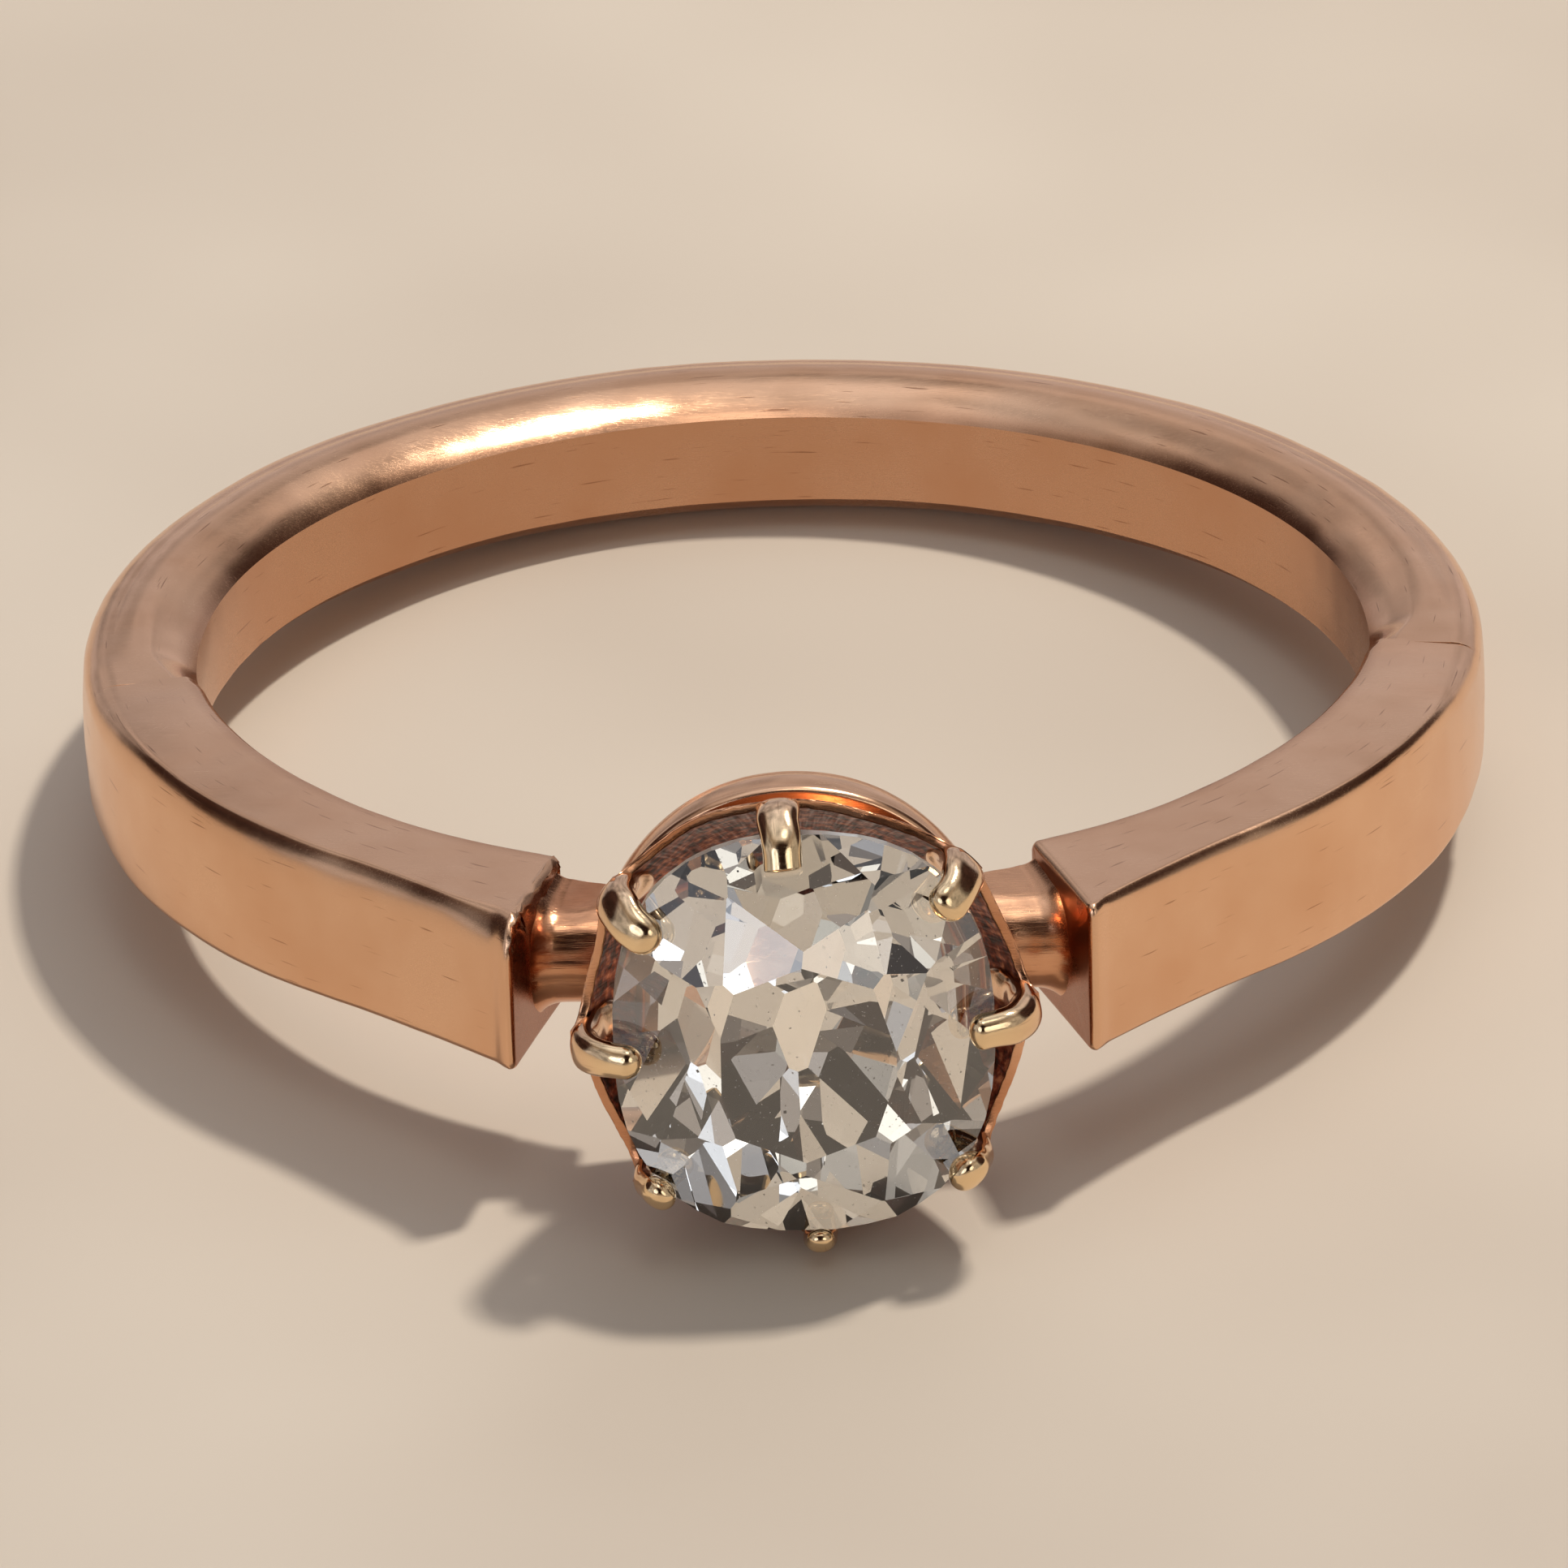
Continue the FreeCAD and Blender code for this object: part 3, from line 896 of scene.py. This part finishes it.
def scattered(count, reach, front, back, seed):
    """Random places in the stone: x and z within reach of the axis, y from front to back."""
    draw = np.random.default_rng(seed)
    place = draw.uniform(-reach, reach, (count, 3))
    place[:, 1] = draw.uniform(front, back, count)
    return place


CARBON_PLACES = np.array([[-1.15, -11.55, -0.30], [-0.30, -11.75, -0.85],
                          [1.05, -11.60, -0.95]])
make_grains("carbon_specks", CARBON_PLACES, np.array([0.055, 0.035, 0.030]), CARBON, 81)
VEIL = scattered(60, 1.35, -12.1, -11.1, 82)
make_grains("pale_crystals", VEIL, np.full(len(VEIL), 0.021), PALE_CRYSTAL, 83)

# %% [markdown]
# ## Coronet cup
# The cup is one thin flared wall. Eight notches with a flat floor and round corners are
# filed into its rim, and the tongues left between them carry the claws. The grid runs round
# the stone's axis, and each row is a closed section: up the outside to the local rim, over
# it, and down the raw inside. The cup was raised by hand, so its radius differs a little at
# every claw and in every gap between two.

# %% Cup outline
CLAW_ANGLES = np.array([3, 45, 95, 142, 183, 226, 273, 319], float)
RIM_AT_CLAWS = np.array([3.29, 3.37, 3.34, 3.43, 3.22, 3.30, 3.24, 3.28])
RIM_IN_GAPS = np.array([3.28, 3.27, 3.46, 3.20, 3.22, 3.20, 3.20, 3.24])
CUP_FOOT, CUP_TOP = RING_FRONT, -11.28
CUP_FOOT_R = 2.18
NOTCH_DEPTH, NOTCH_POWER = 0.37, 3.2
TONGUE_WIDTH, TONGUE_R = 0.40, 3.25  # width of a tongue at a radius
WALL_FOOT, WALL_RIM = 0.26, 0.11
LIP_POWER = 0.55  # squareness of the rim's lip
RIM_MEAN = 3.2
RAW_BELOW = -0.55  # a face is raw when it looks this far inwards
CUP_TURNS = 1380


def surrounding(angles, degrees):
    """The gap between angles that holds each direction: its number, start and end.

    The directions come back too, moved by whole turns so that they lie in their gaps.
    """
    edges = np.append(angles, angles[0] + 360)
    degrees = (np.asarray(degrees, float) - edges[0]) % 360 + edges[0]
    gap = np.clip(np.searchsorted(edges, degrees, side="right") - 1, 0, len(angles) - 1)
    return gap, edges[gap], edges[gap + 1], degrees


def rim_radius(degrees):
    """Outside radius of the rim: eased from each claw to the gap beside it and on."""
    gaps = (CLAW_ANGLES + np.append(CLAW_ANGLES[1:], CLAW_ANGLES[0] + 360)) / 2
    angles = np.stack([CLAW_ANGLES, gaps], axis=1).ravel()
    radii = np.stack([RIM_AT_CLAWS, RIM_IN_GAPS], axis=1).ravel()
    radii = np.append(radii, radii[0])
    gap, start, end, degrees = surrounding(angles, degrees)
    share = (degrees - start) / (end - start)
    return radii[gap] + (radii[gap + 1] - radii[gap]) * smooth(0, 1, share)


def notch(degrees):
    """Depth of the rim's notch: a superellipse across the gap, so its corners are round."""
    _, start, end, degrees = surrounding(CLAW_ANGLES, degrees)
    reach = (end - start) / 2 - math.degrees(TONGUE_WIDTH / 2 / TONGUE_R)
    across = np.clip(np.abs(degrees - (start + end) / 2) / reach, 0, 1)
    return NOTCH_DEPTH * (1 - across ** NOTCH_POWER) ** (1 / NOTCH_POWER)


def cup_radius(share, rim):
    """Outside radius from the foot (0) to the top (1): a wall that flares early, like a tulip."""
    return CUP_FOOT_R + (rim - CUP_FOOT_R) * (1.32 * share - 0.32 * share ** 2)

# %% [markdown]
# Rows crowd towards the rim, where the notches bend the wall, and the faces that look at
# the stone's axis take the raw finish.

# %% Cup
def make_cup():
    """Rows of closed wall sections round the axis."""
    degrees = np.linspace(0, 360, CUP_TURNS + 1)
    depth = CUP_FOOT - CUP_TOP
    top = 1 - notch(degrees) / depth
    rise = np.concatenate([np.linspace(0, 0.9, 22), 0.9 + 0.1 * np.linspace(0, 1, 10)[1:] ** 0.6])
    share = top[:, None] * rise[None, :]
    wall = WALL_FOOT + (WALL_RIM - WALL_FOOT) * share
    radius = cup_radius(share, rim_radius(degrees)[:, None])
    outside = np.stack([radius, CUP_FOOT - share * depth], axis=-1)
    inside = outside - np.stack([wall, np.zeros_like(wall)], axis=-1)
    lip_turn = np.linspace(0, math.pi, 11)[1:-1]
    lip_middle = (outside[:, -1:] + inside[:, -1:]) / 2
    lip_half = wall[:, -1:] / 2
    lip = lip_middle + np.stack([
        lip_half * signed_power(np.cos(lip_turn), LIP_POWER),
        -0.45 * lip_half * np.sin(lip_turn) ** LIP_POWER], -1)
    section = np.concatenate([outside, lip, inside[:, ::-1], outside[:, :1]], axis=1)
    turn = np.radians(degrees)[:, None]
    x, z = section[..., 0] * np.cos(turn), section[..., 0] * np.sin(turn) * OVAL
    points = np.stack([x, section[..., 1], z], axis=-1)
    points[-1] = points[0]
    within = np.arange(points.shape[1]) >= outside.shape[1]
    uneven = 0.010 * ripple(points, 1.3, 61) + 0.007 * ripple(points, 0.18, 62) * within
    points = widened(points, uneven, RIM_MEAN)
    # Painted shade: the outside of the wall, up to just below the rim, takes the darker and
    # slightly rougher second colour.
    outer_columns = np.arange(points.shape[1]) < outside.shape[1] - 3
    tone = outer_columns * np.ones(points.shape[:2])
    piece = skin("coronet_cup_notched", points, SHADED_GOLD, tone)
    piece.data.materials.append(RAW_GOLD)
    mark_raw(piece.data)
    return stand_for(piece, "coronet_cup")


def mark_raw(mesh):
    """Faces that look towards the stone's axis get the raw finish."""
    count = len(mesh.polygons)
    centre, normal = np.zeros(count * 3, np.float32), np.zeros(count * 3, np.float32)
    mesh.polygons.foreach_get("center", centre)
    mesh.polygons.foreach_get("normal", normal)
    centre, normal = centre.reshape(-1, 3), normal.reshape(-1, 3)
    inward = (normal[:, [0, 2]] * unit(centre[:, [0, 2]])).sum(axis=1) < RAW_BELOW
    mesh.polygons.foreach_set("material_index", inward.astype(np.int32))


make_cup()

# %% [markdown]
# ## Claws
# Eight claws grow from the tongues of the cup, bend over the girdle and press on the crown.
# They were tipped by hand with a paler gold, so each has its own reach, width and end. A
# claw is a flattened round section carried along a smooth curve in the plane through the
# stone's axis. Its far end closes in a dome, which is shallow where the tip was filed blunt.

# %% Claws
CLAW_STATIONS, CLAW_POINTS = 110, 48
CLAW_SQUARENESS = 2.2
CROWN_LEAN = math.radians(41)
BEND_START, BEND_END = -11.34, -11.62  # y where a claw begins to bend and has turned over
TIP_SINK = 0.07  # how far a tip is pressed down onto the crown
TIP_ROWS = 13  # extra stations that round the dome
# node, reach over the girdle, width at root and tip, thickness at bend and tip, dome length
CLAWS = [
    ("claw_1", 0.36, 0.62, 0.50, 0.46, 0.36, 0.18),
    ("claw_2", 0.30, 0.64, 0.58, 0.40, 0.44, 0.26),
    ("claw_3", 0.34, 0.60, 0.55, 0.36, 0.36, 0.05),
    ("claw_4", 0.36, 0.66, 0.56, 0.42, 0.40, 0.26),
    ("claw_5", 0.38, 0.62, 0.50, 0.40, 0.38, 0.24),
    ("claw_6", 0.18, 0.54, 0.52, 0.38, 0.42, 0.20),
    ("claw_7", 0.08, 0.50, 0.42, 0.32, 0.32, 0.20),
    ("claw_8", 0.22, 0.58, 0.62, 0.40, 0.52, 0.28),
]


def outline_radius(degrees):
    """Distance from the axis to the cushion outline in a direction."""
    turn = math.radians(degrees)
    c, s = abs(math.cos(turn)) / STONE_X, abs(math.sin(turn)) / STONE_Z
    return (c ** CUSHION_POWER + s ** CUSHION_POWER) ** (-1 / CUSHION_POWER)


def spline(knots, count):
    """Smooth curve through knots (Catmull-Rom), at even steps of length."""
    ends = np.concatenate([[2 * knots[0] - knots[1]], knots, [2 * knots[-1] - knots[-2]]])
    t = np.linspace(0, 1, 40, endpoint=False)[:, None]
    parts = [0.5 * (2 * b + (c - a) * t + (2 * a - 5 * b + 4 * c - d) * t ** 2
                    + (3 * b - a - 3 * c + d) * t ** 3)
             for a, b, c, d in zip(ends, ends[1:], ends[2:], ends[3:])]
    line = np.concatenate(parts + [knots[-1:]])
    walked = np.concatenate([[0], np.cumsum(np.linalg.norm(np.diff(line, axis=0), axis=1))])
    even = np.linspace(0, walked[-1], count)
    stepped = np.stack([np.interp(even, walked, line[:, axis]) for axis in (0, 1)], axis=-1)
    return stepped, walked[-1]


def claw_line(degrees, reach, bend_thick, tip_thick):
    """Middle line of a claw as (radius, y): up the wall, over the girdle, onto the crown."""
    squash = math.hypot(math.cos(math.radians(degrees)), OVAL * math.sin(math.radians(degrees)))
    depth = CUP_FOOT - CUP_TOP
    rim = float(rim_radius(degrees))
    edge = outline_radius(degrees)
    wall = [(cup_radius(share, rim) * squash - WALL_FOOT / 2 - sunk, CUP_FOOT - share * depth)
            for share, sunk in ((0.28, 0.05), (0.62, 0.02), (0.8, 0.02))]
    bend = rim * squash - bend_thick / 2 + 0.02
    front = GIRDLE_Y - GIRDLE_T / 2
    over = front - 0.5 * tip_thick / math.cos(CROWN_LEAN)
    tip = (edge - reach, over + TIP_SINK - reach * math.tan(CROWN_LEAN))
    past = (max(edge, bend - 0.30) + 0.02, over - 0.06)
    return np.array(wall + [(bend, BEND_START), (bend - 0.06, BEND_END), past, tip])


def make_claw(name, degrees, reach, root_width, tip_width, bend_thick, tip_thick, dome_length,
              seed):
    """One claw in its own radial plane, then turned to its place."""
    knots = claw_line(degrees, reach, bend_thick, tip_thick)
    line, length = spline(knots, CLAW_STATIONS)
    run_out = np.linalg.norm(knots[1] - knots[0])
    walked = np.linspace(0, length, CLAW_STATIONS)
    steps = np.linspace(0, 1, TIP_ROWS + 1)[1:, None]
    line = np.concatenate([line[:-1], line[-2:-1] + (line[-1:] - line[-2:-1]) * steps])
    walked = np.concatenate([walked[:-1], np.linspace(walked[-2], length, TIP_ROWS + 1)[1:]])
    tangent = unit(np.gradient(line, walked, axis=0))
    normal = np.stack([-tangent[:, 1], tangent[:, 0]], axis=-1)
    dome = np.sqrt(np.clip(1 - (1 - (length - walked) / dome_length).clip(0) ** 2, 0, 1))
    share = ((walked - run_out) / (length - run_out)).clip(0)
    risen = smooth(0, 1.1 * run_out, walked)
    half_wide = (root_width + (tip_width - root_width) * smooth(0.35, 0.95, share)) / 2 * dome
    half_wide = half_wide * (0.2 + 0.8 * risen)
    thick = WALL_FOOT + 0.04 + (bend_thick - WALL_FOOT - 0.04) * smooth(0.1, 0.5, share)
    half_thick = (thick + (tip_thick - bend_thick) * smooth(0.6, 1.0, share)) / 2 * dome
    half_thick = half_thick * (0.3 + 0.7 * risen)
    turn = np.linspace(0, 2 * math.pi, CLAW_POINTS + 1)[None, :]
    power = 2 / CLAW_SQUARENESS
    up = signed_power(np.cos(turn), power) * half_thick[:, None]
    side = signed_power(np.sin(turn), power) * half_wide[:, None]
    radius = line[:, :1] + normal[:, :1] * up
    y = line[:, 1:] + normal[:, 1:] * up
    angle = math.radians(degrees)
    outward = np.array([math.cos(angle), math.sin(angle) * OVAL])
    outward /= np.linalg.norm(outward)
    x = radius * outward[0] - side * outward[1]
    z = radius * outward[1] + side * outward[0]
    points = np.stack([x, y, z], axis=-1)
    points[:, -1] = points[:, 0]
    lift = 0.012 * ripple(points, 0.6, seed) * dome[:, None]
    middle = points[:, :-1].mean(axis=1, keepdims=True)
    points = middle + (points - middle) * (1 + lift[..., None] / (tip_thick / 2))
    root = points[:1] * 0 + points[0, :-1].mean(axis=0)
    closed = np.concatenate([root, points])
    paler = np.concatenate([[0.0], smooth(0.42, 0.85, share)])[:, None]
    paler = paler + np.zeros((1, CLAW_POINTS + 1))
    return stand_for(skin(name + "_bent", closed, CLAW_GOLD, paler), name)


for number, (node, *shape) in enumerate(CLAWS):
    make_claw(node, CLAW_ANGLES[number], *shape, 71 + number)

# %% [markdown]
# ## Floor and light
# The ring leans: it touches the table with its lowest claw and with the back of the band.
# The floor is laid through those two places, and is a plain pale sheet.

# %% Floor
FLOOR_SIZE = 3000.0
FLOOR_HEAD = (-11.45, -3.50)  # y and z of the contact under the setting
FLOOR_BACK = (9.95, -1.02)  # and under the back of the band


def make_floor():
    """A square sheet tilted about X so that it passes through both contacts."""
    slope = (FLOOR_BACK[1] - FLOOR_HEAD[1]) / (FLOOR_BACK[0] - FLOOR_HEAD[0])
    reach = np.linspace(-FLOOR_SIZE / 2, FLOOR_SIZE / 2, 3)
    x, y = np.meshgrid(reach, reach, indexing="ij")
    z = FLOOR_HEAD[1] + slope * (y - FLOOR_HEAD[0])
    material, tree, shader, place = new_material("floor_paper")
    cloud = add(tree, "TexNoise", {"Vector": place, "Scale": 1 / (14 * MM), "Detail": 2.0})
    tone = add(tree, "ValToRGB", {"Fac": cloud}, stops=[
        (0.35, linear("#C9BCAC")), (0.65, linear("#D4C8B8"))])
    set_sockets(tree, shader, {"Base Color": tone, "Roughness": 0.65})
    mesh = mesh_from("floor", np.stack([x, y, z], axis=-1), grid_faces(3, 3))
    shown("floor", mesh, material)
    print("floor: %.1f degrees of slope" % math.degrees(math.atan(slope)))


make_floor()

# %% [markdown]
# One warm lamp stands high on the right and throws the shadows down to the left. It is small
# and far away, so their edges are fairly crisp.

# %% Key light
def soft_light(name, direction, distance, size, power, colour):
    """A square light on a given side of the ring, looking at it."""
    data = bpy.data.lights.new(name, "AREA")
    data.size = size * MM
    data.energy = power
    data.color = linear(colour)[:3]
    lamp = bpy.data.objects.new(name, data)
    place = Vector(unit(np.array(direction, float)) * distance * MM)
    facing = place.to_track_quat("Z", "Y").to_matrix().to_4x4()
    lamp.matrix_world = Matrix.Translation(place) @ facing
    lamp.visible_camera = False
    bpy.context.collection.objects.link(lamp)


soft_light("key_sun", (0.31, 0.10, 0.945), 240, 18, 0.40, "#FFF7EC")

# %% [markdown]
# ## Surroundings
# Gold and diamond show what stands around them: pale walls behind and at the sides, a
# skylight, two windows, and dark corners that draw deep lines. Noise stands for clutter.

# %% Room
AMBIENT = "#8F857E"
CLUTTER_SCALE, CLUTTER_DARK, CLUTTER_BRIGHT = 4.5, 0.55, 1.45
# direction, where it starts to show and is full (cosines), colour; later ones cover earlier
ROOM = [
    ("back_wall", (0.0, 0.92, 0.38), 0.35, 0.85, (0.48, 0.46, 0.48)),
    ("left_side", (-0.92, -0.38, 0.06), 0.70, 0.90, (0.42, 0.42, 0.45)),
    ("right_side", (0.92, -0.38, 0.06), 0.70, 0.90, (0.38, 0.36, 0.34)),
    ("dark_left", (-0.86, 0.33, 0.38), 0.84, 0.93, (0.040, 0.022, 0.019)),
    ("dark_right", (0.86, 0.33, 0.38), 0.84, 0.93, (0.040, 0.022, 0.019)),
    ("dark_front", (0.0, -0.90, 0.43), 0.88, 0.95, (0.020, 0.010, 0.008)),
    ("skylight", (0.0, -0.02, 1.0), 0.74, 0.94, (0.68, 0.70, 0.76)),
    ("left_window", (-0.45, -0.86, 0.25), 0.965, 0.98, (1.6, 1.7, 1.9)),
    ("right_window", (0.42, -0.87, 0.25), 0.965, 0.98, (1.4, 1.37, 1.3)),
    ("lamp_above", (0.10, -0.40, 0.91), 0.985, 0.992, (2.2, 2.15, 2.05)),
]


def lobe(tree, direction, towards, start, full):
    """One where the sky direction is near a given one, fading to zero: from a dot product."""
    aim = tuple(unit(np.array(towards, float)))
    near = add(tree, "VectorMath", {0: direction, 1: aim}, operation="DOT_PRODUCT")
    return add(tree, "MapRange", {
        "Value": near, "From Min": start, "From Max": full},
        interpolation_type="SMOOTHSTEP")


def make_sky():
    """The world: one lobe after another is laid over the ambient colour, then the clutter."""
    world = bpy.data.worlds.new("studio_room")
    world.use_nodes = True
    tree = world.node_tree
    direction = add(tree, "TexCoord", output="Generated")
    colour = linear(AMBIENT)
    for name, towards, start, full, tone in ROOM:
        part = lobe(tree, direction, towards, start, full)
        colour = add(tree, "Mix", {"Factor": part, "A": colour, "B": (*tone, 1.0)},
                     data_type="RGBA", label=name)
    noise = add(tree, "TexNoise", {
        "Vector": direction, "Scale": CLUTTER_SCALE, "Detail": 4.0, "Roughness": 0.6})
    clutter = add(tree, "MapRange", {
        "Value": noise, "From Min": 0.38, "From Max": 0.62,
        "To Min": CLUTTER_DARK, "To Max": CLUTTER_BRIGHT})
    furnished = add(tree, "VectorMath", {0: colour, "Scale": clutter}, operation="SCALE")
    set_sockets(tree, tree.nodes["Background"], {"Color": furnished, "Strength": 1.0})
    bpy.context.scene.world = world
    print("room: %d lobes, from %s to %s" % (len(ROOM), ROOM[0][0], ROOM[-1][0]))


make_sky()
bpy.context.scene.view_settings.view_transform = "Standard"
